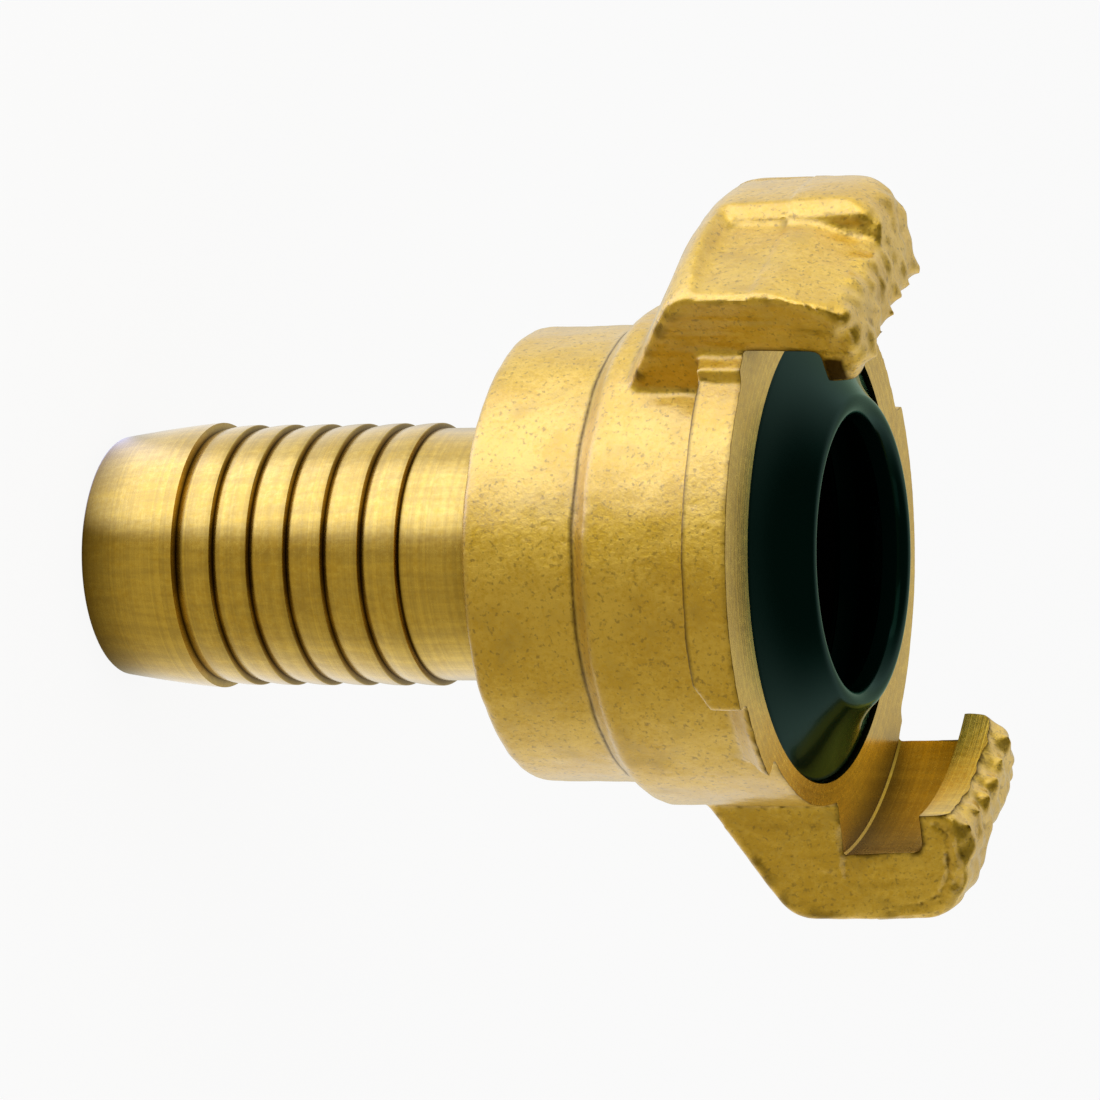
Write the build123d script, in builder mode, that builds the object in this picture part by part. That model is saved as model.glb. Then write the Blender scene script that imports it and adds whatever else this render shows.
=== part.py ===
from build123d import *
from math import cos, radians, sin, tan
import os

# One half of a claw hose coupling for 3/4 inch water hose: a brass body with a barbed
# tail and two hooked claws, and a rubber face seal pressed into its front.
# The axis is Z. The tail end stands on Z = 0 and the claws are centred on +X and -X.

# Barbed tail
tail_length = 33.8
nose_diameter = 18.3
nose_chamfer = 0.35
nose_fullness = 0.56
first_barb_height = 7.9
first_barb_diameter = 20.2
barb_diameter = 19.8
barb_root_diameter = 18.8
barb_wall = 0.22
barb_pitch = 3.0
barb_fullness = 0.72
barb_count = 7
shank_diameter = 19.0
waterway_diameter = 14.5

# Head behind the claws
head_diameter = 34.0
head_length = 8.9
head_corner = 1.1
neck_diameter = 37.4
neck_length = 13.4
neck_slope = 1.6
neck_blend = 1.2
chamber_diameter = 26.0
chamber_floor = 3.4
chamber_cone = 5.0

# Claws. Their depths are measured outwards from the lips, which stand claw_spacing apart.
claw_count = 2
claw_spacing = 40.0
claw_depth = 8.3
claw_width = 14.4
claw_flare = 14.0
claw_back_draft = 9.5
claw_front_draft = 2.4
claw_edge = 0.6
hook_depth = 2.85
hook_gap = 5.8
hook_corner = 0.7
lip_length = 2.1
front_depth = 1.2
front_height = 9.0
shoulder_height = 8.6
shoulder_radius = 3.4
back_height = -4.5
back_depth = 8.0
back_radius = 3.0
back_angle = 31.0

# Cams that the claws of the other half slide behind, with a stop beside each claw
cam_depth = 1.8
cam_thickness = 3.5
cam_edge = 0.15
cam_end_angle = 89.0
cam_ramp_length = 2.3
cam_ramp_rise = 1.1
run_in_angle = 21.0
run_in_length = 2.4
stop_depth = 2.6
stop_width = 1.7

# Thumb rest: a flat let into the outside of each claw, with a bead left on its far side
rest_depth = 1.5
rest_edge = -1.8
rest_step = 0.55
rest_slope = 2.6
rest_back = -2.5
rest_front = 3.5
rest_corner = 0.5

# Grip ridges across the front of each claw
grip_count = 6
grip_pitch = 2.3
grip_width = 2.2
grip_rise = 0.8
grip_slope = 40.0
grip_inset = 0.4

# Rubber face seal and its seat
seat_diameter = 34.0
seat_lip = 0.9
seat_groove_diameter = 34.8
seat_groove_length = 2.6
seal_clearance = 0.03
seal_recess = 0.3
seal_web = 1.6
seal_ring_bore = 28.0
seal_mouth_diameter = 20.2
seal_lip_height = 3.1
seal_lip_radius = 0.9
seal_dish = 0.35

head_z = tail_length
neck_z = head_z + head_length
face_z = neck_z + neck_length
cam_z = face_z - cam_thickness
lip_z = face_z + hook_gap
seat_z = face_z - seat_lip - seat_groove_length
top_z = face_z + front_height + grip_rise + 1
lip_radius = claw_spacing / 2
hook_radius = lip_radius + hook_depth
outer_radius = lip_radius + claw_depth
cam_radius = lip_radius + cam_depth
root_radius = neck_diameter / 2 - 1
cam_start_angle = 5.0


def claw_side(side, draft):
    """Plane of one side of a claw, which faces away from the claw's middle."""
    start = (lip_radius, side * claw_width / 2, lip_z)
    return Plane(origin=start, z_dir=(-tan(radians(claw_flare)), side, -tan(radians(draft))))


def round_corner(sketch, x, height, radius):
    """Round the corner of an upright sketch that lies at x and a height."""
    corner = sketch.vertices().sort_by_distance((x, height, 0))[0]
    fillet(corner, radius)


def on_claw_rim(edge):
    """True for the edges of a claw's two sides that lie outside its hook."""
    middle = edge.center()
    radius = (middle.X**2 + middle.Y**2) ** 0.5
    on_side = min(abs(side.to_local_coords(middle).Z) for side in claw_sides) < 0.01
    return on_side and (radius > hook_radius + 0.1 or middle.Z > lip_z + lip_length + 0.2)


def ring_sector(radius, first_angle, last_angle):
    """Fan-shaped outline about the axis, from one angle to another."""
    middle_angle = (first_angle + last_angle) / 2
    with BuildLine() as outline:
        start = (radius * cos(radians(first_angle)), radius * sin(radians(first_angle)))
        middle = (radius * cos(radians(middle_angle)), radius * sin(radians(middle_angle)))
        end = (radius * cos(radians(last_angle)), radius * sin(radians(last_angle)))
        Line((0, 0), start)
        ThreePointArc(start, middle, end)
        Line(end, (0, 0))
    return outline.line


# Body of revolution: barbed tail, head and neck up to the front face
with BuildPart() as blank:
    with BuildSketch(Plane.XZ) as turned:
        with BuildLine():
            start = (nose_diameter / 2, nose_chamfer)
            Polyline((0, 0), (nose_diameter / 2 - nose_chamfer, 0), start)
            for barb in range(barb_count):
                crest = first_barb_diameter if barb == 0 else barb_diameter
                root = shank_diameter if barb == barb_count - 1 else barb_root_diameter
                fullness = nose_fullness if barb == 0 else barb_fullness
                height = first_barb_height + barb * barb_pitch
                swell = start[0] + (crest / 2 - start[0]) * fullness
                swollen = (swell, (start[1] + height) / 2)
                wall = (root / 2, height + barb_wall)
                Polyline(start, swollen, (crest / 2, height), wall)
                start = wall
            Polyline(
                start,
                (shank_diameter / 2, head_z),
                (head_diameter / 2, head_z),
                (head_diameter / 2, neck_z),
                (neck_diameter / 2, neck_z + neck_slope),
                (neck_diameter / 2, face_z),
                (0, face_z),
                (0, 0),
            )
        make_face()
        round_corner(turned, head_diameter / 2, head_z, head_corner)
        round_corner(turned, head_diameter / 2, neck_z, neck_blend)
        round_corner(turned, neck_diameter / 2, neck_z + neck_slope, neck_blend)
    revolve(axis=Axis.Z)

# One cam, with a lead-in ramp behind its free end
cam_end = radians(cam_end_angle)
ramp_plane = Plane(
    origin=(0, 0, cam_z),
    x_dir=(-sin(cam_end), cos(cam_end), 0),
    z_dir=(cos(cam_end), sin(cam_end), 0),
)
with BuildPart() as cam:
    with BuildSketch(Plane.XZ):
        with BuildLine():
            Polyline(
                (0, cam_z),
                (cam_radius, cam_z),
                (cam_radius, face_z - cam_edge),
                (cam_radius - cam_edge, face_z),
                (0, face_z),
                close=True,
            )
        make_face()
    revolve(axis=Axis.Z)
    with BuildSketch(Plane.XY):
        with BuildLine():
            add(ring_sector(outer_radius, cam_start_angle, cam_end_angle))
        make_face()
    extrude(amount=top_z, mode=Mode.INTERSECT)
    with BuildSketch(ramp_plane):
        with BuildLine():
            Polyline(
                (-cam_ramp_length, 0),
                (0, cam_ramp_rise),
                (1, cam_ramp_rise),
                (1, -1),
                (-cam_ramp_length, -1),
                close=True,
            )
        make_face()
    extrude(amount=outer_radius, mode=Mode.SUBTRACT)

# The flared rim that runs on from the free end of the cam
with BuildPart() as run_in:
    with BuildSketch(Plane.XZ):
        with BuildLine():
            Polyline(
                (0, face_z - run_in_length),
                (neck_diameter / 2 - 0.1, face_z - run_in_length),
                (cam_radius - cam_edge - 1, face_z),
                (0, face_z),
                close=True,
            )
        make_face()
    revolve(axis=Axis.Z)
    with BuildSketch(Plane.XY):
        with BuildLine():
            add(ring_sector(outer_radius, cam_end_angle - 1, cam_end_angle + run_in_angle))
        make_face()
    extrude(amount=top_z, mode=Mode.INTERSECT)

# One claw: its section turned about the axis, cut to its width by two drafted sides
claw_sides = [claw_side(1, claw_front_draft), claw_side(-1, -claw_back_draft)]
with BuildPart() as claw:
    with BuildSketch(Plane.XZ) as section:
        with BuildLine():
            back_z = face_z + back_height
            back_x = lip_radius + back_depth
            root_z = back_z - (back_x - root_radius) * tan(radians(back_angle))
            Polyline(
                (root_radius, root_z),
                (back_x, back_z),
                (outer_radius, face_z + shoulder_height),
                (lip_radius + front_depth, face_z + front_height),
                (lip_radius, lip_z + lip_length),
                (lip_radius, lip_z),
                (hook_radius, lip_z),
                (hook_radius, face_z),
                (root_radius, face_z),
                close=True,
            )
        make_face()
        round_corner(section, back_x, back_z, back_radius)
        round_corner(section, outer_radius, face_z + shoulder_height, shoulder_radius)
        round_corner(section, hook_radius, lip_z, hook_corner)
    revolve(axis=Axis.Z)
    for side_plane in claw_sides:
        split(bisect_by=side_plane, keep=Keep.BOTTOM)
    split(bisect_by=Plane.YZ, keep=Keep.TOP)
    outer_edges = claw.edges().filter_by(lambda edge: on_claw_rim(edge))
    fillet(outer_edges, claw_edge)

# One stop, the block beside the claw that ends the quarter turn
with BuildPart() as stop:
    with BuildSketch(Plane.XY.offset(cam_z)):
        with BuildLine():
            add(ring_sector(lip_radius + stop_depth, 0, 45))
        make_face()
    extrude(amount=cam_thickness)
    split(bisect_by=claw_sides[0].offset(stop_width), keep=Keep.BOTTOM)

# The cut of the thumb rest, open to the front and to one side of the claw
rest_x = outer_radius - rest_depth
shoulder_x = outer_radius - shoulder_radius
with BuildPart() as rest_cut:
    with BuildSketch(Plane.XY) as rest_plan:
        with BuildLine():
            far = outer_radius + 2
            Polyline(
                (rest_x, claw_width),
                (rest_x, rest_edge),
                (rest_x + rest_step, rest_edge - rest_step / 2),
                (outer_radius + 0.3, rest_edge - rest_slope),
                (far, rest_edge - rest_slope),
                (far, claw_width),
                close=True,
            )
        make_face()
        round_corner(rest_plan, rest_x, rest_edge, rest_corner)
    extrude(amount=top_z)
    back_plane = Plane(origin=(rest_x, 0, face_z + rest_back), z_dir=(1, 0, 1))
    split(bisect_by=back_plane, keep=Keep.TOP)
    with BuildSketch(Plane.XZ.offset(-rest_edge)):
        with BuildLine():
            Polyline(
                (rest_x, face_z + rest_front),
                (shoulder_x, face_z + front_height),
                (far, face_z + front_height),
                (far, face_z + rest_front),
                close=True,
            )
        make_face()
    extrude(amount=-claw_width)

# One grip ridge: a bar with sloping sides that runs out across the front of the claw
with BuildPart() as ridge:
    with BuildSketch(Plane.XZ):
        with BuildLine():
            Polyline(
                (lip_radius + grip_inset, lip_z),
                (lip_radius + grip_inset, face_z + front_height + grip_rise),
                (shoulder_x - grip_rise, face_z + shoulder_height + grip_rise),
                (shoulder_x + grip_rise, face_z + shoulder_height - grip_rise),
                (shoulder_x + grip_rise, lip_z),
                close=True,
            )
        make_face()
    extrude(amount=grip_width / 2, both=True, taper=grip_slope)

with BuildPart() as claw_end:
    add(claw.part)
    add(rest_cut.part, mode=Mode.SUBTRACT)
    for row in range(grip_count):
        across = (row - (grip_count - 1) / 2) * grip_pitch
        inwards = outer_radius - (outer_radius**2 - across**2) ** 0.5
        add(Pos(-inwards, across, 0) * ridge.part)
    add(cam.part)
    add(run_in.part)
    add(stop.part)

# The brass body, with its seat and waterway bored after the claws are on
with BuildPart() as coupling_body:
    add(blank.part)
    with PolarLocations(0, claw_count):
        add(claw_end.part)
    with BuildSketch(Plane.XZ):
        with BuildLine():
            chamber_z = head_z + chamber_floor
            Polyline(
                (0, 0),
                (waterway_diameter / 2, 0),
                (waterway_diameter / 2, chamber_z),
                (chamber_diameter / 2, chamber_z + chamber_cone),
                (chamber_diameter / 2, seat_z),
                (seat_groove_diameter / 2, seat_z),
                (seat_groove_diameter / 2, seat_z + seat_groove_length),
                (seat_diameter / 2, seat_z + seat_groove_length),
                (seat_diameter / 2, face_z),
                (0, face_z),
                close=True,
            )
        make_face()
    revolve(axis=Axis.Z, mode=Mode.SUBTRACT)

# The seal: a ring that snaps into the groove, a dished web and a rounded lip round the mouth
with BuildPart() as face_seal:
    with BuildSketch(Plane.XZ):
        with BuildLine():
            ring = seat_groove_diameter / 2 - seal_clearance
            neck = seat_diameter / 2 - seal_clearance
            foot_z = seat_z + seal_clearance
            groove_top = seat_z + seat_groove_length - seal_clearance
            mouth = seal_mouth_diameter / 2
            lip_middle = mouth + seal_lip_radius
            lip_height = face_z + seal_lip_height - seal_lip_radius
            rim = (neck, face_z - seal_recess)
            brow = (
                lip_middle + seal_lip_radius * sin(radians(50)),
                lip_height + seal_lip_radius * cos(radians(50)),
            )
            dish = ((rim[0] + brow[0]) / 2, (rim[1] + brow[1]) / 2 - seal_dish)
            Polyline(
                (mouth, lip_height),
                (mouth, lip_height - seal_lip_radius),
                (seal_ring_bore / 2, foot_z + seal_web),
                (seal_ring_bore / 2, foot_z),
                (ring, foot_z),
                (ring, groove_top),
                (neck, groove_top),
                rim,
            )
            ThreePointArc(rim, dish, brow)
            ThreePointArc(brow, (lip_middle, lip_height + seal_lip_radius), (mouth, lip_height))
        make_face()
    revolve(axis=Axis.Z)

coupling_body.part.label = "coupling_body"
face_seal.part.label = "face_seal"
os.makedirs("parts", exist_ok=True)
export_step(coupling_body.part, "parts/coupling_body.step")
export_step(face_seal.part, "parts/face_seal.step")
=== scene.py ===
import bmesh
import bpy
import numpy as np
from math import cos, hypot, pi, radians, sin
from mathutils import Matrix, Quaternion, Vector, noise


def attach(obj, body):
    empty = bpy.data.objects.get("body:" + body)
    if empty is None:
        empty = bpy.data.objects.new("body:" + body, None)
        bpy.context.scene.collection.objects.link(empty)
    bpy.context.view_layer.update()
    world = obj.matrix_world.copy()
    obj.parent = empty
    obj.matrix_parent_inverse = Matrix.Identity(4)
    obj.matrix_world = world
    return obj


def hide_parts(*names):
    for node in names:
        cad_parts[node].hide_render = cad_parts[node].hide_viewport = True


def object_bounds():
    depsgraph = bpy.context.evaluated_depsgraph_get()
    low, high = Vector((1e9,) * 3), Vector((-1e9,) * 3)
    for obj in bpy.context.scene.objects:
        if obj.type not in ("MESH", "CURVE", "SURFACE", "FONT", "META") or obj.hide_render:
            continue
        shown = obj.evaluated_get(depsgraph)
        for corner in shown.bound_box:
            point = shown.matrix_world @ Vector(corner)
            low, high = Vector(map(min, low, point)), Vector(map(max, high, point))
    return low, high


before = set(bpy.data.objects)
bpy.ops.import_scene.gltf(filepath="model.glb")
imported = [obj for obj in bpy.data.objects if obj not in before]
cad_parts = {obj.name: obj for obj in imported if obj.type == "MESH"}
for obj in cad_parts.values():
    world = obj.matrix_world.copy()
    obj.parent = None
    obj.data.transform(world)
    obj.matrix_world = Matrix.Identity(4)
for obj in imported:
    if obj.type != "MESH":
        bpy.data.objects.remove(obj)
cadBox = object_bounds()
print("frame loaded")

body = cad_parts["coupling_body"]
mm = 0.001


def hexColor(code):
    # sRGB hex to the linear colour that sockets take
    channels = [int(code[i:i + 2], 16) / 255 for i in (1, 3, 5)]
    linear = [c / 12.92 if c <= 0.04045 else ((c + 0.055) / 1.055) ** 2.4 for c in channels]
    return (*linear, 1)


def addNode(tree, kind, inputs=None, **settings):
    # an input that is a socket gets linked, any other is set as the value
    node = tree.nodes.new(kind)
    for name, value in settings.items():
        setattr(node, name, value)
    for key, value in (inputs or {}).items():
        if isinstance(value, bpy.types.NodeSocket):
            tree.links.new(value, node.inputs[key])
        else:
            node.inputs[key].default_value = value
    return node


def newMaterial(name):
    material = bpy.data.materials.new(name)
    material.use_nodes = True
    material.node_tree.nodes.clear()
    return material, material.node_tree


# Camera: a long lens, rolled so that the hose tail points left
cameraSettings = {
    "lens": 204.74,
    "sensor": 36,
    "clipStart": 0.01,
    "distance": 468.1 * mm,
    "azimuth": 147.5,
    "elevation": 21.19,
    "roll": 89.76,
    "aim": Vector((0.24, -0.15, 34.47)) * mm,
}


def makeCamera(s):
    camera = bpy.data.objects.new("camera", bpy.data.cameras.new("camera"))
    bpy.context.scene.collection.objects.link(camera)
    camera.data.lens = s["lens"]
    camera.data.sensor_width = s["sensor"]
    camera.data.clip_start = s["clipStart"]
    turn = Quaternion((0, 0, 1), radians(s["azimuth"]))
    tilt = Quaternion((1, 0, 0), radians(-s["elevation"]))
    outward = turn @ tilt @ Vector((0, -1, 0))
    camera.location = s["aim"] + outward * s["distance"]
    camera.rotation_mode = "QUATERNION"
    upright = (-outward).to_track_quat("-Z", "Y")
    camera.rotation_quaternion = upright @ Quaternion((0, 0, 1), radians(s["roll"]))
    bpy.context.scene.camera = camera


makeCamera(cameraSettings)
print("camera placed")

# Studio: a pale floor and a white backdrop. Metal sees a white room with a dim warm card behind the
# camera, a softer one behind the part, a nearly black one past the front and a bright cold one below the
# key lamp
studio = {
    "floorSize": 4.0,
    "floorColor": "#F2F2F0",
    "floorGlow": 0.9,  # share of the floor that is glow instead of paint, where the camera or metal sees it
    "floorTilt": (0.93, -0.36),  # how level and how far down metal looks into the room there
    "white": (1, 1, 1, 1),
    "ambient": 0.55,
    "cards": [
        # towards the card, cosine where it starts and where it is full, strength, colour
        (Vector((0.299, 0.949, -0.10)), -0.35, 0.82, 0.42, "#FFEFB0"),
        (Vector((-0.537, -0.843, 0.0)), 0.70, 0.93, 0.66, "#F6F2E0"),
        (Vector((0.188, 0.295, 0.937)), 0.35, 0.85, 0.07, "#FFF4D8"),
        (Vector((0.926, 0.089, -0.366)), 0.77, 0.96, 2.9, "#CCD2FF"),
    ],
    "lamps": [
        # name, towards the lamp, distance, side, power, colour
        ("keyLamp", Vector((0.85, 0.05, 0.35)), 0.50, 0.40, 0.6, "#FFFBF0"),
        ("fillLamp", Vector((-0.30, 0.80, 0.52)), 0.60, 0.30, 0.2, "#FFFFFF"),
    ],
    "middle": Vector((0, 0, 45 * mm)),
}


def roomLight(tree, direction, s):
    # the light that metal sees in a direction: white, with the cards laid over it in their order
    light = s["white"]
    for towards, start, full, strength, color in s["cards"]:
        share = addNode(tree, "ShaderNodeVectorMath", {0: direction, 1: towards}, operation="DOT_PRODUCT")
        share = addNode(tree, "ShaderNodeMapRange", {0: share.outputs["Value"], 1: start, 2: full},
                        interpolation_type="SMOOTHSTEP").outputs[0]
        card = [c * strength for c in hexColor(color)[:3]] + [1]
        light = addNode(tree, "ShaderNodeMix", {"Factor": share, 6: light, 7: card},
                        data_type="RGBA").outputs[2]
    return light


def makeRoom(s):
    # the camera sees white, metal sees the cards, and everything else gets an even light
    world = bpy.data.worlds.new("studio")
    bpy.context.scene.world = world
    world.use_nodes = True
    tree = world.node_tree
    tree.nodes.clear()
    path = addNode(tree, "ShaderNodeLightPath").outputs
    room = roomLight(tree, addNode(tree, "ShaderNodeTexCoord").outputs["Generated"], s)
    shiny = addNode(tree, "ShaderNodeMath", {0: path["Is Glossy Ray"], 1: path["Is Transmission Ray"]},
                    operation="MAXIMUM").outputs[0]
    ambient = [s["ambient"]] * 3 + [1]
    color = addNode(tree, "ShaderNodeMix", {"Factor": shiny, 6: ambient, 7: room},
                    data_type="RGBA").outputs[2]
    color = addNode(tree, "ShaderNodeMix", {"Factor": path["Is Camera Ray"], 6: color, 7: s["white"]},
                    data_type="RGBA").outputs[2]
    light = addNode(tree, "ShaderNodeBackground", {"Color": color, "Strength": 1.0})
    addNode(tree, "ShaderNodeOutputWorld", {"Surface": light.outputs[0]})


def paintedFloor(s):
    # matt paint that takes the shadow; metal sees the room in its place, by the side it lies on
    material, tree = newMaterial("paintedFloor")
    path = addNode(tree, "ShaderNodeLightPath").outputs
    paint = addNode(tree, "ShaderNodeBsdfDiffuse", {"Color": hexColor(s["floorColor"])})
    place = addNode(tree, "ShaderNodeTexCoord").outputs["Object"]
    side = addNode(tree, "ShaderNodeVectorMath", {0: place}, operation="NORMALIZE").outputs[0]
    level, drop = s["floorTilt"]
    side = addNode(tree, "ShaderNodeVectorMath", {0: side, 1: (level, level, 0), 2: (0, 0, drop)},
                   operation="MULTIPLY_ADD").outputs[0]
    room = roomLight(tree, side, s)
    color = addNode(tree, "ShaderNodeMix", {"Factor": path["Is Camera Ray"], 6: room, 7: s["white"]},
                    data_type="RGBA").outputs[2]
    glow = addNode(tree, "ShaderNodeEmission", {"Color": color, "Strength": 1.0})
    seen = addNode(tree, "ShaderNodeMath", {0: path["Is Camera Ray"], 1: path["Is Glossy Ray"]},
                   operation="MAXIMUM").outputs[0]
    share = addNode(tree, "ShaderNodeMath", {0: seen, 1: s["floorGlow"]}, operation="MULTIPLY")
    mix = addNode(tree, "ShaderNodeMixShader",
                  {0: share.outputs[0], 1: paint.outputs[0], 2: glow.outputs[0]})
    addNode(tree, "ShaderNodeOutputMaterial", {"Surface": mix.outputs[0]})
    return material


def makeStudio(s):
    makeRoom(s)
    half = s["floorSize"] / 2
    corners = [(-half, -half, 0), (half, -half, 0), (half, half, 0), (-half, half, 0)]
    floorMesh = bpy.data.meshes.new("floor")
    floorMesh.from_pydata(corners, [], [(0, 1, 2, 3)])
    floorMesh.materials.append(paintedFloor(s))
    floor = bpy.data.objects.new("floor", floorMesh)
    bpy.context.scene.collection.objects.link(floor)

    for name, towards, distance, side, power, color in s["lamps"]:
        lamp = bpy.data.objects.new(name, bpy.data.lights.new(name, "AREA"))
        lamp.data.size = side
        lamp.data.energy = power
        lamp.data.color = hexColor(color)[:3]
        lamp.location = s["middle"] + towards.normalized() * distance
        lamp.rotation_euler = (s["middle"] - lamp.location).to_track_quat("-Z", "Y").to_euler()
        bpy.context.scene.collection.objects.link(lamp)
    bpy.context.scene.view_settings.view_transform = "Standard"


makeStudio(studio)
print("studio lit")

# Hot-forged brass, cut on a lathe at the tail, the seat and inside the hooks: the forged skin is satin,
# pitted and stained, the cut faces are smoother and carry tool lines. A clear lacquer, worn thin on the cut
# faces at the front, adds a soft pale sheen
brass = {
    "color": "#DEB41F",
    "pale": "#EDC745",
    "tarnish": "#A0801F",
    # brown of the painted shade in crevices, hooks and step lines, and of dirt
    "dirtAndShade": "#4C370C",
    # black of the painted shade inside the bore
    "boreShade": "#120C05",
    # size in mm, detail and roughness of each pattern. The real grain, specks and tool lines are too fine
    # to show, so they are drawn as coarse as they need
    "grain": (0.40, 3.0, 0.65),
    "specks": (0.34, 2.0, 0.5),
    "patches": (6.0, 4.0, 0.6),
    "stains": (3.2, 6.0, 0.72),
    "toolLines": (0.30, 2.0, 0.7),
    "streaks": (0.7, 4.0, 0.65),
    "streakStretch": 0.07,
    # strength and depth in mm
    "grainRelief": (0.9, 0.07),
    "lineRelief": (0.8, 0.014),
    # where in its pattern a mark starts and ends, and its greatest strength
    "mottling": (0.86, 1.14),
    "speckRange": (0.575, 0.71, 0.7),
    "stainRange": (0.52, 0.76, 0.45),
    "streakRange": (0.82, 1.18, 0.45),
    # how far the painted shade feels for walls in mm, the openness where it is full and where it ends, its
    # strength
    "creviceShade": (1.1, 0.25, 0.78, 0.85),
    "hookShade": (6.0, 0.40, 0.88, 0.9),
    "forgedRoughness": 0.40,
    "cutRoughness": 0.17,
    "grainRoughness": 0.16,
    "lacquerRoughness": 0.25,
    "lacquerIor": 1.7,
    "lacquerWear": (45, 50, 0.7),  # heights where wear starts and is full, in mm, and the share then lost
}


def forgedBrass(s):
    material, tree = newMaterial("forgedBrass")
    place = addNode(tree, "ShaderNodeTexCoord").outputs["Object"]
    height = addNode(tree, "ShaderNodeSeparateXYZ", {0: place}).outputs["Z"]
    flat = addNode(tree, "ShaderNodeVectorMath", {0: place, 1: (1, 1, 0)}, operation="MULTIPLY")
    radius = addNode(tree, "ShaderNodeVectorMath", {0: flat.outputs[0]}, operation="LENGTH").outputs["Value"]
    forged, paintedShadeAndDirt, inside, rim = [
        addNode(tree, "ShaderNodeAttribute", attribute_name=name).outputs["Fac"]
        for name in ("forged", "paintedShadeAndDirt", "inside", "rim")]

    # tool lines run round the axis, so their pattern depends on height and radius only,
    # and the streaks of handling run along it
    ring = addNode(tree, "ShaderNodeCombineXYZ", {0: radius, 2: height}).outputs[0]
    along = addNode(tree, "ShaderNodeVectorMath", {0: place, 1: (1, 1, s["streakStretch"])},
                    operation="MULTIPLY").outputs[0]
    patterns = []
    for name, space in (("grain", place), ("specks", place), ("patches", place), ("stains", place),
                        ("toolLines", ring), ("streaks", along)):
        size, detail, roughness = s[name]
        pattern = addNode(tree, "ShaderNodeTexNoise", {"Vector": space, "Scale": 1000 / size,
                                                       "Detail": detail, "Roughness": roughness})
        patterns.append(pattern.outputs["Fac"])
    grain, specks, patches, stains, lines, streaks = patterns

    strength, depth = s["grainRelief"]
    skinBump = addNode(tree, "ShaderNodeBump",
                       {"Strength": strength, "Distance": depth * mm, "Height": grain})
    strength, depth = s["lineRelief"]
    lineBump = addNode(tree, "ShaderNodeBump",
                       {"Strength": strength, "Distance": depth * mm, "Height": lines})
    normal = addNode(tree, "ShaderNodeMix",
                     {"Factor": forged, 4: lineBump.outputs[0], 5: skinBump.outputs[0]},
                     data_type="VECTOR").outputs[1]

    # pale where handled, tarnished in streaks on the cut faces and in specks and stains on the skin
    low, high = s["mottling"]
    mottled = addNode(tree, "ShaderNodeMath", {0: patches, 1: grain}, operation="ADD").outputs[0]
    mottled = addNode(tree, "ShaderNodeMapRange", {0: mottled, 1: low, 2: high}).outputs[0]
    tone = addNode(tree, "ShaderNodeMix",
                   {"Factor": mottled, 6: hexColor(s["color"]), 7: hexColor(s["pale"])},
                   data_type="RGBA").outputs[2]
    machined = addNode(tree, "ShaderNodeMath", {0: 1.0, 1: forged}, operation="SUBTRACT").outputs[0]
    low, high, strength = s["streakRange"]
    streaked = addNode(tree, "ShaderNodeMath", {0: streaks, 1: lines}, operation="ADD").outputs[0]
    streaked = addNode(tree, "ShaderNodeMapRange",
                       {0: streaked, 1: low, 2: high, 3: strength, 4: 0.0}).outputs[0]
    streaked = addNode(tree, "ShaderNodeMath", {0: streaked, 1: machined}, operation="MULTIPLY").outputs[0]
    low, high, strength = s["speckRange"]
    marks = addNode(tree, "ShaderNodeMapRange", {0: specks, 1: low, 2: high, 3: 0.0, 4: strength}).outputs[0]
    low, high, strength = s["stainRange"]
    stained = addNode(tree, "ShaderNodeMapRange",
                      {0: stains, 1: low, 2: high, 3: 0.0, 4: strength}).outputs[0]
    marks = addNode(tree, "ShaderNodeMath", {0: marks, 1: stained}, operation="MAXIMUM").outputs[0]
    marks = addNode(tree, "ShaderNodeMath", {0: marks, 1: forged, 2: streaked},
                    operation="MULTIPLY_ADD").outputs[0]
    tone = addNode(tree, "ShaderNodeMix", {"Factor": marks, 6: tone, 7: hexColor(s["tarnish"])},
                   data_type="RGBA").outputs[2]

    # painted shade and dirt in brown in every crevice, beside the cuts and in the hooks, painted shade in
    # black inside
    reach, full, end, strength = s["creviceShade"]
    openness = addNode(tree, "ShaderNodeAmbientOcclusion", {"Distance": reach * mm}, samples=8).outputs["AO"]
    crevice = addNode(tree, "ShaderNodeMapRange",
                      {0: openness, 1: full, 2: end, 3: strength, 4: 0.0}).outputs[0]
    crevice = addNode(tree, "ShaderNodeMath", {0: crevice, 1: paintedShadeAndDirt}, operation="MAXIMUM").outputs[0]
    rimLine = addNode(tree, "ShaderNodeMath", {0: rim, 1: forged}, operation="MULTIPLY").outputs[0]
    crevice = addNode(tree, "ShaderNodeMath", {0: crevice, 1: rimLine}, operation="MAXIMUM").outputs[0]
    # painted shade deep in the hooks, where the claws keep the light off the cut faces
    reach, full, end, strength = s["hookShade"]
    shelter = addNode(tree, "ShaderNodeAmbientOcclusion", {"Distance": reach * mm}, samples=8).outputs["AO"]
    hookShading = addNode(tree, "ShaderNodeMapRange",
                    {0: shelter, 1: full, 2: end, 3: strength, 4: 0.0}).outputs[0]
    hookShading = addNode(tree, "ShaderNodeMath", {0: hookShading, 1: machined}, operation="MULTIPLY").outputs[0]
    crevice = addNode(tree, "ShaderNodeMath", {0: crevice, 1: hookShading}, operation="MAXIMUM").outputs[0]
    tone = addNode(tree, "ShaderNodeMix", {"Factor": crevice, 6: tone, 7: hexColor(s["dirtAndShade"])},
                   data_type="RGBA").outputs[2]
    tone = addNode(tree, "ShaderNodeMix", {"Factor": inside, 6: tone, 7: hexColor(s["boreShade"])},
                   data_type="RGBA").outputs[2]

    rough = addNode(tree, "ShaderNodeMapRange",
                    {0: forged, 3: s["cutRoughness"], 4: s["forgedRoughness"]}).outputs[0]
    rough = addNode(tree, "ShaderNodeMath", {0: grain, 1: s["grainRoughness"], 2: rough},
                    operation="MULTIPLY_ADD").outputs[0]
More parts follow.
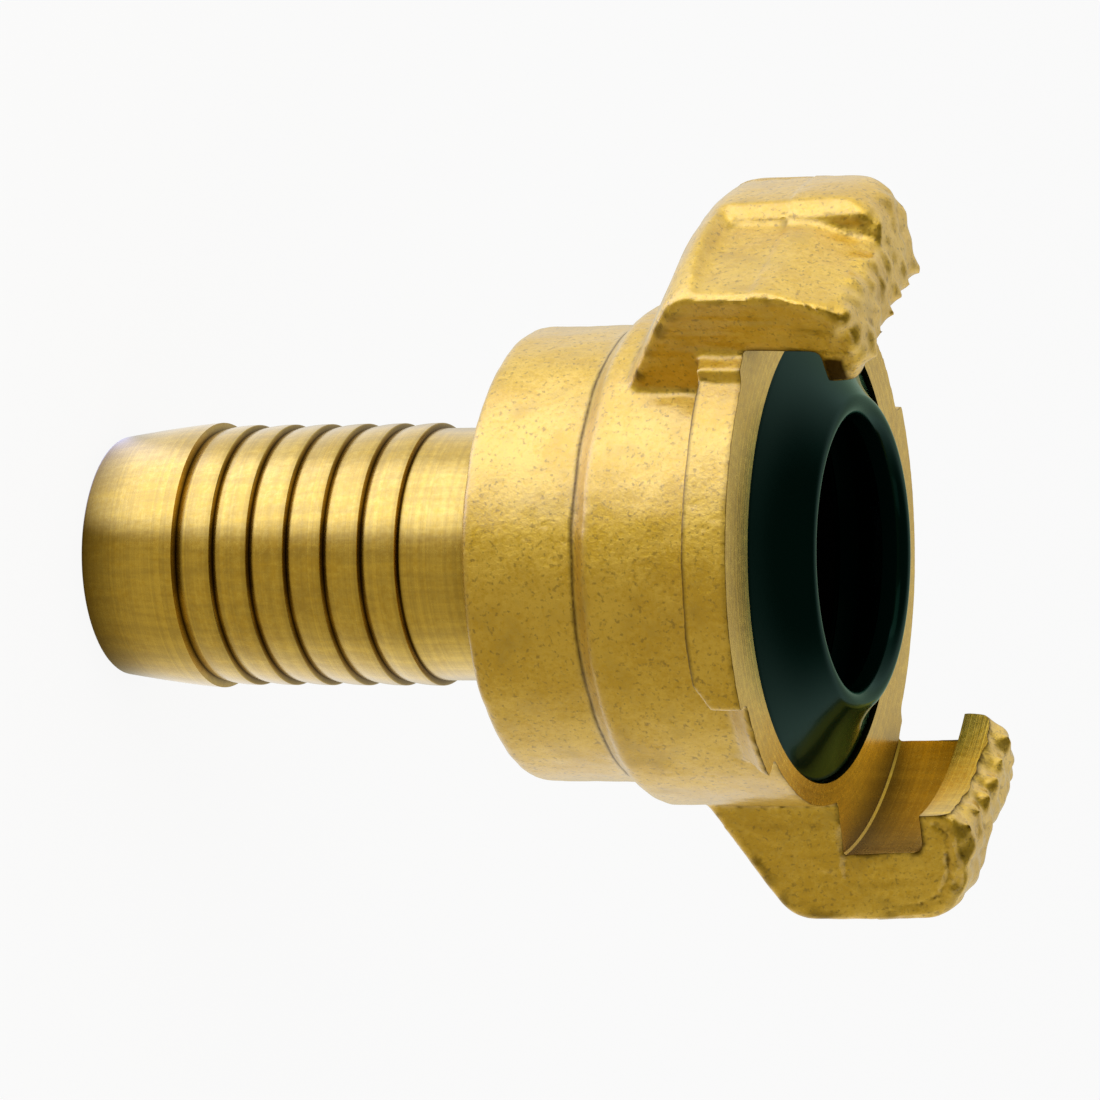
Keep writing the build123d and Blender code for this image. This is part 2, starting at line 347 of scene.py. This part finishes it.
    # lacquer: thin on the cut faces at the front, none over the painted shade and dirt
    low, high, loss = s["lacquerWear"]
    front = addNode(tree, "ShaderNodeMapRange",
                    {0: height, 1: low * mm, 2: high * mm, 3: 0.0, 4: -loss}).outputs[0]
    film = addNode(tree, "ShaderNodeMath", {0: front, 1: machined, 2: 1.0},
                   operation="MULTIPLY_ADD").outputs[0]
    clearOfShadeAndDirt = addNode(tree, "ShaderNodeMath", {0: 1.0, 1: crevice}, operation="SUBTRACT").outputs[0]
    film = addNode(tree, "ShaderNodeMath", {0: film, 1: clearOfShadeAndDirt}, operation="MULTIPLY").outputs[0]
    metal = addNode(tree, "ShaderNodeBsdfPrincipled",
                    {"Base Color": tone, "Metallic": 1.0, "Roughness": rough, "Normal": normal,
                     "Coat Weight": film, "Coat Roughness": s["lacquerRoughness"],
                     "Coat IOR": s["lacquerIor"]})
    addNode(tree, "ShaderNodeOutputMaterial", {"Surface": metal.outputs[0]})
    return material


def newPiece(name, mesh):
    piece = bpy.data.objects.new(name, mesh)
    bpy.context.scene.collection.objects.link(piece)
    return piece


def applyModifiers(piece):
    # the evaluated mesh, plain, in place of the stack
    evaluated = piece.evaluated_get(bpy.context.evaluated_depsgraph_get())
    mesh = bpy.data.meshes.new_from_object(evaluated)
    piece.modifiers.clear()
    piece.data = mesh


def turnedMesh(name, profile, segments, closed=False):
    # a section of (radius, height) points in mm, turned about Z; a point on the axis becomes a pole
    form = bmesh.new()
    rings = []
    for radius, height in profile:
        ring = []
        for step in range(segments if radius else 1):
            angle = 2 * pi * step / segments
            ring.append(form.verts.new((radius * cos(angle) * mm, radius * sin(angle) * mm, height * mm)))
        rings.append(ring)
    pairs = list(zip(rings, rings[1:]))
    if closed:
        pairs.append((rings[-1], rings[0]))
    for low, high in pairs:
        for step in range(segments):
            corners = [ring[(step + more) % len(ring)]
                       for ring, more in ((low, 0), (low, 1), (high, 1), (high, 0))]
            form.faces.new(list(dict.fromkeys(corners)))
    bmesh.ops.recalc_face_normals(form, faces=form.faces)
    mesh = bpy.data.meshes.new(name)
    form.to_mesh(mesh)
    form.free()
    return mesh


# Hose tail: one barb is turned, and Geometry Nodes repeat it along the tail. Sizes in mm
hoseTail = {
    "segments": 240,
    "noseRadius": 9.15,
    "noseEdge": 0.3,
    "noseFullness": 1.25,
    "noseSteps": 14,
    "firstCrest": (10.1, 7.9),
    "crestRadius": 9.9,
    "crestRound": [(0.03, 0.035), (0.10, 0.06)],  # inwards and onwards from the crest
    "rootRadius": 9.48,
    "shankRadius": 9.5,
    "shankEase": [0.05, 0.3],  # onwards from the last barb
    "barbWall": 0.13,
    "barbPitch": 3.0,
    "barbCount": 6,
    "barbSteps": 9,
    "fullness": 2.3,
    "crowding": 1.4,  # the points of a curve lie closer together near its foot
    "copyWeld": 0.005,
    "sectionWeld": 0.004,
    "top": 35.5,
}


def barbCurve(start, end, fullness, steps, crowding):
    # rises fast from the foot and flattens towards the crest
    curve = []
    for step in range(steps + 1):
        t = (step / steps) ** crowding
        radius = start[0] + (end[0] - start[0]) * (1 - (1 - t) ** fullness)
        curve.append((radius, start[1] + (end[1] - start[1]) * t))
    return curve


def repeatTree(s, material):
    # repeats the incoming mesh upwards and joins the copies edge to edge
    tree = bpy.data.node_groups.new("repeatBarbs", "GeometryNodeTree")
    face = tree.interface
    face.new_socket("Barb", in_out="INPUT", socket_type="NodeSocketGeometry")
    face.new_socket("Count", in_out="INPUT", socket_type="NodeSocketInt")
    face.new_socket("Pitch", in_out="INPUT", socket_type="NodeSocketFloat")
    face.new_socket("Tail", in_out="OUTPUT", socket_type="NodeSocketGeometry")
    given = addNode(tree, "NodeGroupInput").outputs
    step = addNode(tree, "ShaderNodeCombineXYZ", {"Z": given["Pitch"]})
    places = addNode(tree, "GeometryNodeMeshLine", {"Count": given["Count"], "Offset": step.outputs[0]})
    copies = addNode(tree, "GeometryNodeInstanceOnPoints",
                     {"Points": places.outputs[0], "Instance": given["Barb"]})
    plain = addNode(tree, "GeometryNodeRealizeInstances", {0: copies.outputs[0]})
    joined = addNode(tree, "GeometryNodeMergeByDistance",
                     {0: plain.outputs[0], "Distance": s["copyWeld"] * mm})
    painted = addNode(tree, "GeometryNodeSetMaterial", {0: joined.outputs[0], "Material": material})
    result = addNode(tree, "NodeGroupOutput")
    tree.links.new(painted.outputs[0], result.inputs[0])
    return tree


def makeHoseTail(s, material):
    foot = (s["rootRadius"], s["firstCrest"][1] + s["barbWall"])
    crest = (s["crestRadius"], s["firstCrest"][1] + s["barbPitch"])
    barb = barbCurve(foot, crest, s["fullness"], s["barbSteps"], s["crowding"])
    barb += [(crest[0] - inwards, crest[1] + onwards) for inwards, onwards in s["crestRound"]]
    barb.append((s["rootRadius"], crest[1] + s["barbWall"]))
    barbs = newPiece("barbs", turnedMesh("barbs", barb, s["segments"]))
    repeat = barbs.modifiers.new("repeat", "NODES")
    repeat.node_group = repeatTree(s, material)
    sizes = {"Count": s["barbCount"], "Pitch": s["barbPitch"] * mm}
    for socket in repeat.node_group.interface.items_tree:
        if socket.name in sizes:
            repeat[socket.identifier] = sizes[socket.name]
    applyModifiers(barbs)

    # the plain nose and the shank close the tail to a solid, which is bored with the head
    edge = s["noseEdge"]
    nose = [(0, 0)] + [(s["noseRadius"] - edge * (1 - sin(a)), edge * (1 - cos(a)))
                       for a in (0, pi / 8, pi / 4, 3 * pi / 8)]
    nose += barbCurve((s["noseRadius"], edge), s["firstCrest"], s["noseFullness"], s["noseSteps"],
                      s["crowding"])
    nose.append(foot)
    lastFoot = foot[1] + s["barbCount"] * s["barbPitch"]
    shank = [(s["rootRadius"], lastFoot)] + [(s["shankRadius"], lastFoot + up) for up in s["shankEase"]]
    shank += [(s["shankRadius"], s["top"]), (0, s["top"])]
    form = bmesh.new()
    form.from_mesh(barbs.data)
    for section in (nose, shank):
        form.from_mesh(turnedMesh("section", section, s["segments"]))
    bmesh.ops.remove_doubles(form, verts=form.verts, dist=s["sectionWeld"] * mm)
    bmesh.ops.recalc_face_normals(form, faces=form.faces)
    form.to_mesh(barbs.data)
    form.free()
    return barbs


# Lathe cuts: the waterway, the chamber, the seat, the front face and the inside of the hooks. Sizes in mm
latheCuts = {
    "segments": 256,
    "runOut": 1,  # how far the tool runs past the hose end
    "waterway": 7.25,
    "entry": 0.2,
    "chamberFloor": 37.2,
    "chamberCone": 5.0,
    "chamberRadius": 13.0,
    "grooveFloor": 52.6,
    "grooveTop": 55.2,
    "grooveRadius": 17.4,
    "seatRadius": 17.0,
    "faceHeight": 56.1,
    "hookRadius": 22.85,
    "hookCorner": 0.6,
    "floorCorner": 0.16,
    "lipHeight": 61.9,
    "lipRadius": 20.0,
    "top": 70,
}


def cutSection(s):
    # the section of all that the lathe takes out, from the hose end to the front
    past, hook, corner = s["runOut"], s["hookRadius"], s["hookCorner"]
    return [
        (0, -past), (s["waterway"] + s["entry"] + past, -past), (s["waterway"], s["entry"]),
        (s["waterway"], s["chamberFloor"]), (s["chamberRadius"], s["chamberFloor"] + s["chamberCone"]),
        (s["chamberRadius"], s["grooveFloor"]), (s["grooveRadius"], s["grooveFloor"]),
        (s["grooveRadius"], s["grooveTop"]), (s["seatRadius"], s["grooveTop"]),
        (s["seatRadius"], s["faceHeight"]),
        (hook - s["floorCorner"], s["faceHeight"]), (hook, s["faceHeight"] + s["floorCorner"]),
        *[(hook - corner * (1 - cos(a)), s["lipHeight"] - corner * (1 - sin(a)))
          for a in (0, pi / 6, pi / 3, pi / 2)],
        (s["lipRadius"], s["lipHeight"]), (s["lipRadius"], s["top"]), (0, s["top"]),
    ]


# Forging: the CAD solid above the tail, its edges worn round and its skin left as the dies made it.
# Sizes in mm
forging = {
    "weld": 0.0005,
    "headHeight": 33.82,
    "saw": (40, -5, 64),  # radius, lower end, segments
    "plug": [(0, 34.2), (13.3, 34.2), (13.3, 46.0), (17.6, 46.0), (17.6, 56.4), (0, 56.4)],
    "plugSegments": 128,
    "voxel": 0.24,
    "smoothing": 5,
    "triangles": 150000,
    "boxMargin": 0.002,
    "sharpAngle": 38,
    # metal left on for the lathe: how thick, how near a face it starts, how squarely the face has to lie
    "allowance": 0.7,
    "room": 0.4,
    "squareness": (2, 0.1),
    "lipTop": 64.0,
    # the fronts of the claws: where they begin, how long they are worn down, over which heights
    "frontHeight": 63.2,
    "frontWear": 13,
    "frontBand": (-1, 0.5),
    # patterns in the skin: size and depth; the real pits and streaks are finer and drawn coarse to show
    "wave": (5.0, 0.08),
    "waveOctaves": (0.9, 2.1, 3),
    "mottle": (1.3, 0.03),
    "frontRough": (1.3, 0.26),
    "pits": (1.3, 0.06),
    "pitRadius": 0.25,
    "pitChoice": (7.3, 0.15),  # a pit is left out where its own noise is lower
    "streakSize": (0.55, 7),
    "streakDepth": 0.08,
    "streakZone": (9.5, 22.6, 0.7),  # half width, least radius, how squarely the side has to lie
    "skinDepth": 0.02,
    # die marks: least radius and half width of a claw, least radius of its top, the slopes that count
    "claw": (20.5, 9),
    "clawTop": 22.9,
    "backSlope": (0.45, 0.85),
    "topSlope": (0.35, 0.75),
    "steps": (0.14, 0.25, 55.8, 57.7),  # depth, width, height on the back and on the top
    "groove": (1.2, 0.3, 0.16, 59.5, 1.5),  # inset, width, depth, height where it starts, run-in
    "outline": [(20, 64), (21.2, 65.1), (24.9, 64.9), (27.3, 63.7),
                (28.3, 61.3), (28.2, 54.5), (26.5, 51.0), (17.7, 45.4)],
}


def points(mesh):
    flat = np.empty(len(mesh.vertices) * 3, dtype=np.float32)
    mesh.vertices.foreach_get("co", flat)
    return flat.reshape(-1, 3).astype(float) / mm


def normals(mesh):
    flat = np.empty(len(mesh.vertices) * 3, dtype=np.float32)
    mesh.vertex_normals.foreach_get("vector", flat)
    return flat.reshape(-1, 3).astype(float)


def edgePairs(mesh):
    flat = np.empty(len(mesh.edges) * 2, dtype=np.int32)
    mesh.edges.foreach_get("vertices", flat)
    return flat.reshape(-1, 2)


def setPoints(mesh, place):
    mesh.vertices.foreach_set("co", (place * mm).astype(np.float32).ravel())
    mesh.update()


def spread(values, edges, rounds):
    # evens a value, or a place, out over the neighbours of each point
    for turn in range(rounds):
        total = values.copy()
        count = np.ones(len(values))
        for a, b in ((0, 1), (1, 0)):
            np.add.at(total, edges[:, a], values[edges[:, b]])
            np.add.at(count, edges[:, a], 1)
        values = total / (count[:, None] if values.ndim > 1 else count)
    return values


def leaveAllowance(place, normal, s, cuts):
    # metal stands proud of each face that the lathe will cut, so that the cut leaves a crisp edge
    radius = np.hypot(place[:, 0], place[:, 1])
    outward = place[:, :2] / radius[:, None]
    radial = (outward * normal[:, :2]).sum(1)
    height = place[:, 2]
    face, lip, room = cuts["faceHeight"], cuts["lipHeight"], s["room"]
    steepness, least = s["squareness"]
    shift = np.zeros_like(place)
    near = radius < cuts["hookRadius"] + room
    front = near & (abs(height - face) < room)
    shift[front, 2] += s["allowance"] * np.clip(normal[front, 2] * steepness - least, 0, 1)
    under = near & (abs(height - lip) < room)
    shift[under, 2] -= s["allowance"] * np.clip(-normal[under, 2] * steepness - least, 0, 1)
    walls = ((cuts["hookRadius"], face - room, lip + room), (cuts["lipRadius"], lip - room, s["lipTop"]))
    for size, low, high in walls:
        wall = (abs(radius - size) < room) & (height > low) & (height < high)
        share = s["allowance"] * np.clip(-radial[wall] * steepness - least, 0, 1)
        shift[wall, :2] -= share[:, None] * outward[wall]
    return shift


def toSection(radius, height, section):
    # distance from the outline of a turned section
    nearest = np.full(len(radius), np.inf)
    for start, end in zip(section, section[1:]):
        along = np.array(end, float) - start
        share = ((radius - start[0]) * along[0] + (height - start[1]) * along[1]) / (along ** 2).sum()
        share = np.clip(share, 0, 1)
        gap = np.hypot(radius - start[0] - share * along[0], height - start[1] - share * along[1])
        nearest = np.minimum(nearest, gap)
    return nearest


def rise(value, start, end):
    # 0 at the start, 1 at the end, which may be the lower of the two
    return np.clip((value - start) / (end - start), 0, 1)


def dieMarks(place, normal, s):
    # the step where the two dies met on each claw, and the groove inside the rim of its back
    turn = np.sign(place[:, 0])
    radius = np.hypot(place[:, 0], place[:, 1])
    least, half = s["claw"]
    claw = (radius > least) & (abs(place[:, 1]) < half)
    back = claw * rise(-normal[:, 1] * turn, *s["backSlope"])
    top = (claw & (radius > s["clawTop"])) * rise(normal[:, 0] * turn, *s["topSlope"])
    depth, width, backStep, topStep = s["steps"]
    shift = back * depth * (rise(place[:, 2], backStep + width, backStep) - 0.5)
    shift += top * depth * (rise(place[:, 2], topStep, topStep + width) - 0.5)
    inset, width, depth, start, runIn = s["groove"]
    gap = abs(toSection(radius, place[:, 2], s["outline"]) - inset)
    shift -= back * depth * rise(gap, width, 0) * rise(place[:, 2], start, start + runIn)
    return shift


def forgedSkin(place, normal, s):
    # how far the skin of the forging lies off the true shape, in mm
    shift = dieMarks(place, normal, s)
    half, least, square = s["streakZone"]
    across, along = s["streakSize"]
    pitSize, pitDepth = s["pits"]
    spacing, choice = s["pitChoice"]
    for index in range(len(place)):
        x, y, z = place[index]
        spot = Vector((x, y, z))
        size, depth = s["wave"]
        value = noise.fractal(spot / size, *s["waveOctaves"]) * depth
        size, depth = s["mottle"]
        value += noise.noise(spot / size) * depth
        gaps, centres = noise.voronoi(spot / pitSize)
        if gaps[0] < s["pitRadius"] and noise.noise(centres[0] * spacing) > choice:
            value -= pitDepth * (1 - gaps[0] / s["pitRadius"])
        if abs(y) < half and hypot(x, y) > least and abs(normal[index][1]) > square:
            value += noise.noise(Vector((x / across, y / across, z / along))) * s["streakDepth"]
        if z > s["frontHeight"]:
            size, depth = s["frontRough"]
            value += noise.noise(spot / size) * depth * min(1, z - s["frontHeight"])
        shift[index] += value - s["skinDepth"]
    return shift


def combine(piece, other, operation):
    step = piece.modifiers.new(operation, "BOOLEAN")
    step.operation = operation
    step.solver = "MANIFOLD"
    step.object = other
    applyModifiers(piece)
    bpy.data.objects.remove(other)


def makeForging(s, cuts, tail):
    form = bmesh.new()
    form.from_mesh(body.data)
    bmesh.ops.remove_doubles(form, verts=form.verts, dist=s["weld"] * mm)
    whole = bpy.data.meshes.new("coupling")
    form.to_mesh(whole)
    form.free()
    piece = newPiece("coupling", whole)
    wide, low, segments = s["saw"]
    saw = turnedMesh("saw", [(0, low), (wide, low), (wide, s["headHeight"]), (0, s["headHeight"])], segments)
    combine(piece, newPiece("saw", saw), "DIFFERENCE")
    combine(piece, newPiece("plug", turnedMesh("plug", s["plug"], s["plugSegments"])), "UNION")
    print("  head cut off and filled:", len(piece.data.polygons))

    # one even skin, with metal left on for the lathe and the fronts of the claws worn further than the rest
    remesh = piece.modifiers.new("skin", "REMESH")
    remesh.mode = "VOXEL"
    remesh.voxel_size = s["voxel"] * mm
    applyModifiers(piece)
    edges = edgePairs(piece.data)
    place = points(piece.data)
    place += leaveAllowance(place, normals(piece.data), s, cuts)
    place = spread(place, edges, s["smoothing"])
    worn = spread(place, edges, s["frontWear"])
    start, full = [s["frontHeight"] + up for up in s["frontBand"]]
    weight = rise(place[:, 2], start, full)[:, None]
    place = place * (1 - weight) + worn * weight
    setPoints(piece.data, place)
    normal = normals(piece.data)
    place += normal * forgedSkin(place, normal, s)[:, None]
    lowest, highest = [np.array([c / mm for c in corner]) for corner in cadBox]
    place = np.clip(place, lowest + s["boxMargin"], highest - s["boxMargin"])
    setPoints(piece.data, place)
    print("  forged:", len(piece.data.polygons))

    fewer = piece.modifiers.new("fewer", "DECIMATE")
    triangles = sum(len(face.vertices) - 2 for face in piece.data.polygons)
    fewer.ratio = min(1.0, s["triangles"] / triangles)
    applyModifiers(piece)
    combine(piece, tail, "UNION")
    tool = turnedMesh("tool", cutSection(cuts), cuts["segments"])
    combine(piece, newPiece("tool", tool), "DIFFERENCE")
    print("  machined:", len(piece.data.polygons))
    return piece


# Painted shade and dirt on the finished coupling: where each is painted and how strong it is, up to 1. Sizes
# in mm
shadeAndDirtZones = {
    "cutTolerance": 0.012,
    "edgeTolerance": 0.03,
    "insideHeights": (0.5, 0.2),  # above the hose end, and above the groove of the seat
    "headMargin": 0.1,
    "sink": {"range": (0.18, 0.66), "strength": 0.9},
    "claws": {"reach": 19.5, "square": 0.6, "width": 0.9, "strength": 0.9, "size": 1.1, "base": 0.1},
    "crease": {"reach": 16.5, "height": 42.75, "near": 1, "width": 0.30, "waver": 0.12, "size": 3,
               "strength": 0.95},
    "camEdge": {"reach": 21.7, "height": 52.7, "near": 0.6, "square": 0.5, "fade": (0.4, 0.1),
                "strength": 0.85},
    "leadShade": {"reach": 22.5, "bottom": 61.6, "top": 63.6, "fade": 0.3, "square": (0.4, 0.7)},
    "cutLine": {"reach": (17.6, 27), "base": 0.75, "change": 0.5, "size": 1.7, "gain": 2.2},
    "barbFoot": {"ends": (-0.02, 0.1), "fade": (0.055, 0.012), "strength": 0.95},  # in barb pitches
}


def addLayer(mesh, name, domain, values):
    layer = mesh.attributes.new(name, "FLOAT", domain)
    layer.data.foreach_set("value", values.astype(np.float32))


def sinkDepth(place, normal, edges):
    # how far each point of the skin sinks below its neighbours, over its distance to them
    sink = np.zeros(len(place))
    count = np.zeros(len(place))
    for a, b in ((0, 1), (1, 0)):
        step = place[edges[:, b]] - place[edges[:, a]]
        long = np.maximum((step ** 2).sum(1), 1e-4)
        np.add.at(sink, edges[:, a], (step * normal[edges[:, a]]).sum(1) / long)
        np.add.at(count, edges[:, a], 1)
    return spread(sink / np.maximum(count, 1), edges, 1)


def paintZones(mesh, s, head, cuts, tail):
    # the forged skin, the unseen inside, painted black as shade, and the painted shade and dirt of the
    # crevices, as values that the brass reads
    section = cutSection(cuts)
    flat = np.empty(len(mesh.polygons) * 3, dtype=np.float32)
    mesh.polygons.foreach_get("center", flat)
    middle = flat.reshape(-1, 3).astype(float) / mm
    radius = np.hypot(middle[:, 0], middle[:, 1])
    cut = toSection(radius, middle[:, 2], section) < s["cutTolerance"]
    mouth, above = s["insideHeights"]
    inside = cut & (middle[:, 2] < cuts["grooveTop"] + above) & (middle[:, 2] > mouth)
    addLayer(mesh, "forged", "FACE", ~cut & (middle[:, 2] > head["headHeight"] - s["headMargin"]))
    addLayer(mesh, "inside", "FACE", inside)

    place, normal, edges = points(mesh), normals(mesh), edgePairs(mesh)
    reach, height = np.hypot(place[:, 0], place[:, 1]), place[:, 2]
    edge = toSection(reach, height, section) < s["edgeTolerance"]
    # darker where the skin sinks below its neighbours, not at the cut edges or on the tail
    paintedShadeAndDirt = rise(sinkDepth(place, normal, edges), *s["sink"]["range"]) * s["sink"]["strength"]
    paintedShadeAndDirt[edge] = 0
    paintedShadeAndDirt[height < head["headHeight"] + s["headMargin"]] = 0

    # darker in broken patches along the rims of the claws' sides
    zone = s["claws"]
    rim = (reach > zone["reach"]) & (abs(normal[:, 1]) > zone["square"])
    rim &= toSection(reach, height, head["outline"]) < zone["width"]
    for index in np.nonzero(rim)[0]:
        dirtAndShade = zone["strength"] * noise.noise(Vector(place[index]) / zone["size"]) + zone["base"]
        paintedShadeAndDirt[index] = max(paintedShadeAndDirt[index], dirtAndShade)
    # painted shade: a thin wavering dark line in the crease round the middle of the head
    zone = s["crease"]
    crease = (reach > zone["reach"]) & (abs(height - zone["height"]) < zone["near"])
    for index in np.nonzero(crease)[0]:
        spot = Vector(place[index])
        aside = abs(height[index] - zone["height"] - zone["waver"] * noise.noise(spot / zone["size"]))
        line = 1 - aside / (zone["width"] + zone["waver"] * noise.noise(spot))
        paintedShadeAndDirt[index] = max(paintedShadeAndDirt[index], zone["strength"] * line)
    # painted shade along the edge where each cam rises from the head
    zone = s["camEdge"]
    outward = (place[:, :2] * normal[:, :2]).sum(1) / np.maximum(reach, 0.1)
    step = (abs(reach - zone["reach"]) < zone["near"]) & (outward > zone["square"])
    step = step * rise(abs(height - zone["height"]), *zone["fade"])
    paintedShadeAndDirt = np.maximum(paintedShadeAndDirt, step * zone["strength"])
    # painted shadow: the lead end of each lip sits in its own shadow, painted black here
    zone = s["leadShade"]
    lead = rise(normal[:, 1] * np.sign(place[:, 0]), *zone["square"])
    lead *= rise(reach, zone["reach"], zone["reach"] - zone["fade"])
    lead *= (height > zone["bottom"]) * rise(height, zone["top"], zone["top"] - zone["fade"])
    paintedShadeAndDirt = np.maximum(paintedShadeAndDirt, lead)
    # a broken dark line follows the skin beside each edge that the lathe cut
    zone = s["cutLine"]
    edge = edge & (reach > zone["reach"][0]) & (reach < zone["reach"][1])
    cutLine = np.zeros(len(place))
    cutLine[edge] = [zone["base"] + zone["change"] * noise.noise(Vector(spot) / zone["size"])
                     for spot in place[edge]]
    cutLine = np.clip(spread(cutLine, edges, 1) * zone["gain"], 0, 1)
    # and painted shade fills the foot of each barb
    zone = s["barbFoot"]
    foot = (height - tail["firstCrest"][1] - tail["barbWall"]) / tail["barbPitch"]
    barbs = (foot > zone["ends"][0]) & (foot < tail["barbCount"] + zone["ends"][1])
    paintedShadeAndDirt[barbs] = rise(abs((foot[barbs] + 0.5) % 1 - 0.5), *zone["fade"]) * zone["strength"]
    addLayer(mesh, "paintedShadeAndDirt", "POINT", paintedShadeAndDirt)
    addLayer(mesh, "rim", "POINT", cutLine)


brassMaterial = forgedBrass(brass)
hose = makeHoseTail(hoseTail, brassMaterial)
print("hose tail turned:", len(hose.data.polygons))
coupling = makeForging(forging, latheCuts, hose)
coupling.data.materials.clear()
coupling.data.materials.append(brassMaterial)
paintZones(coupling.data, shadeAndDirtZones, forging, latheCuts, hoseTail)
coupling.data.shade_smooth()
coupling.data.set_sharp_from_angle(angle=radians(forging["sharpAngle"]))
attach(coupling, "root")
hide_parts("coupling_body")
print("brass body finished")

# Moulded nitrile rubber: black with a cold green cast, glossy where the mould was polished. A thin tinted
# film stands for the bloom on it, and its grain is drawn coarser than it is so that it shows
rubber = {
    "color": "#03100D",
    "gloss": "#5FC0AC",
    "glossLevel": 0.16,
    "roughness": (0.14, 0.24),
    "film": "#D0F0E6",
    "filmIor": 1.05,
    "grain": (0.5, 3.0),  # size in mm and detail
    "grainRelief": (0.2, 0.01),  # strength and depth in mm
}


def mouldedRubber(s):
    material, tree = newMaterial("mouldedRubber")
    place = addNode(tree, "ShaderNodeTexCoord").outputs["Object"]
    size, detail = s["grain"]
    grain = addNode(tree, "ShaderNodeTexNoise",
                    {"Vector": place, "Scale": 1000 / size, "Detail": detail}).outputs["Fac"]
    strength, depth = s["grainRelief"]
    bump = addNode(tree, "ShaderNodeBump", {"Strength": strength, "Distance": depth * mm, "Height": grain})
    low, high = s["roughness"]
    rough = addNode(tree, "ShaderNodeMapRange", {0: grain, 3: low, 4: high}).outputs[0]
    skin = addNode(tree, "ShaderNodeBsdfPrincipled",
                   {"Base Color": hexColor(s["color"]), "Roughness": rough,
                    "Specular IOR Level": s["glossLevel"], "Specular Tint": hexColor(s["gloss"]),
                    "Normal": bump.outputs[0], "Coat Weight": 1.0, "Coat IOR": s["filmIor"],
                    "Coat Tint": hexColor(s["film"])})
    addNode(tree, "ShaderNodeOutputMaterial", {"Surface": skin.outputs[0]})
    return material


# Face seal: turned in one closed section, inside the seat that the CAD solid fills. Sizes in mm
faceSeal = {
    "segments": 240,
    "sharpAngle": 40,
    "ringRadius": 17.3,
    "neckRadius": 16.93,
    "footHeight": 52.66,
    "grooveHeight": 55.12,
    "grooveSlope": 0.1,
    "rimHeight": 55.78,
    "rimEdge": 0.35,
    "rimRound": (0.1, 0.08),  # cut off its corner, and rise across its top
    "mouthRadius": 10.1,
    "lipRadius": 0.9,
    "lipArc": (54, -95, -9),  # degrees from the top, outwards first
    "topHeight": 59.19,
    "throat": [(0.05, 1.0), (1.2, 2.1)],  # outwards from the mouth and down from the middle of the lip
    "webHeight": 54.2,
    "ringBore": 14.0,
    "web": [(-0.4, 0.3), (0, -0.2)],  # outwards from the bore of the ring and up from the web
    "coneSteps": 12,
    "dish": 0.5,
    "dishShape": (0.6, 0.8, 0.72),  # deeper towards the lip
}


def makeSeal(s):
    centre = (s["mouthRadius"] + s["lipRadius"], s["topHeight"] - s["lipRadius"])
    lip = [(centre[0] + s["lipRadius"] * sin(radians(a)), centre[1] + s["lipRadius"] * cos(radians(a)))
           for a in range(*s["lipArc"])]
    corner, lift = s["rimRound"]
    start = (s["neckRadius"] - s["rimEdge"], s["rimHeight"] + lift)
    section = [(s["ringBore"], s["footHeight"]), (s["ringRadius"], s["footHeight"]),
               (s["ringRadius"], s["grooveHeight"]), (s["neckRadius"], s["grooveHeight"] + s["grooveSlope"]),
               (s["neckRadius"], s["rimHeight"] - s["rimEdge"]),
               (s["neckRadius"] - corner, s["rimHeight"] - corner), start]
    base, skew, share = s["dishShape"]
    for step in range(1, s["coneSteps"]):
        t = step / s["coneSteps"]
        radius = start[0] * (1 - t) + lip[0][0] * t
        height = start[1] * (1 - t) + lip[0][1] * t
        section.append((radius, height - s["dish"] * 4 * t * (1 - t) * (base + skew * t) * share))
    section += lip
    section += [(s["mouthRadius"] + out, centre[1] - down) for out, down in s["throat"]]
    section += [(s["ringBore"] + out, s["webHeight"] + up) for out, up in s["web"]]
    return newPiece("seal", turnedMesh("seal", section, s["segments"], True))


ring = makeSeal(faceSeal)
ring.data.materials.append(mouldedRubber(rubber))
ring.data.shade_smooth()
ring.data.set_sharp_from_angle(angle=radians(faceSeal["sharpAngle"]))
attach(ring, "root")
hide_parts("face_seal")
print("rubber seal finished")
